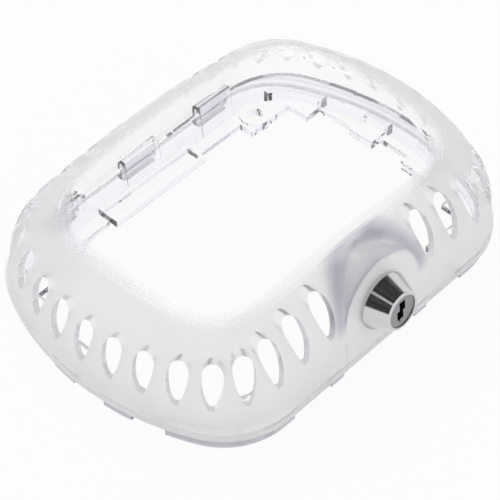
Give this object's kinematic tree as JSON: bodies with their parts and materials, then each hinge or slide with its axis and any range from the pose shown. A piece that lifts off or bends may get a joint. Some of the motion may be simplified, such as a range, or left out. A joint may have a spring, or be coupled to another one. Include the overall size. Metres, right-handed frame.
{
  "type": "thermostat lock box",
  "caption": "Clear vented thermostat guard: a domed cover hinged on a wall base with a chrome wafer lock whose cam turns under the base's keeper.",
  "frame": {"origin": "centre of the four wall screws, in the wall plane that the feet rest on", "axes": "+Z leaves the wall, +X runs along the long side, +Y points to the hinge side and -Y to the lock side"},
  "size_m": [0.1574, 0.1221, 0.044],
  "materials": {
    "frosted_clear_plastic": "clear polycarbonate, frosted outside round a polished window",
    "clear_plastic": "clear polycarbonate, satin",
    "chrome": "bright chrome plating",
    "plug_nickel": "satin nickel",
    "wafer_brass": "stamped",
    "spring_steel": "bright wire",
    "zinc_plated_steel": "zinc plated"
  },
  "bodies": {
    "base": {"base": "clear_plastic", "keeper": "clear_plastic"},
    "cover": {"cover": "frosted_clear_plastic", "lock_housing": "chrome", "nut_washer": "zinc_plated_steel", "mounting_nut": "zinc_plated_steel"},
    "plug": {"lock_plug": "plug_nickel", "stop_washer": "zinc_plated_steel", "cam": "zinc_plated_steel", "cam_washer": "zinc_plated_steel", "cam_screw": "zinc_plated_steel", "wafer_spring_1": "spring_steel", "wafer_spring_2": "spring_steel", "wafer_spring_3": "spring_steel", "wafer_spring_4": "spring_steel", "wafer_spring_5": "spring_steel"},
    "wafer_1": {"wafer_1": "wafer_brass"},
    "wafer_2": {"wafer_2": "wafer_brass"},
    "wafer_3": {"wafer_3": "wafer_brass"},
    "wafer_4": {"wafer_4": "wafer_brass"},
    "wafer_5": {"wafer_5": "wafer_brass"}
  },
  "joints": [
    {"name": "cover_hinge", "type": "hinge", "parent": "base", "child": "cover", "pos_m": [0, 0.05435, 0.0068], "axis": [-1, 0, 0], "range_deg": [0, 95]},
    {"name": "lock_turn", "type": "hinge", "parent": "cover", "child": "plug", "pos_m": [0, -0.055, 0.022], "axis": [0, -0.9945, 0.1045], "range_deg": [0, 90]},
    {"name": "wafer_1_slide", "type": "slide", "parent": "plug", "child": "wafer_1", "axis": [0, 0.1045, 0.9945], "range_m": [0, 0.0005]},
    {"name": "wafer_2_slide", "type": "slide", "parent": "plug", "child": "wafer_2", "axis": [0, 0.1045, 0.9945], "range_m": [0, 0.0005]},
    {"name": "wafer_3_slide", "type": "slide", "parent": "plug", "child": "wafer_3", "axis": [0, 0.1045, 0.9945], "range_m": [0, 0.0005]},
    {"name": "wafer_4_slide", "type": "slide", "parent": "plug", "child": "wafer_4", "axis": [0, 0.1045, 0.9945], "range_m": [0, 0.0005]},
    {"name": "wafer_5_slide", "type": "slide", "parent": "plug", "child": "wafer_5", "axis": [0, 0.1045, 0.9945], "range_m": [0, 0.0005]}
  ]
}
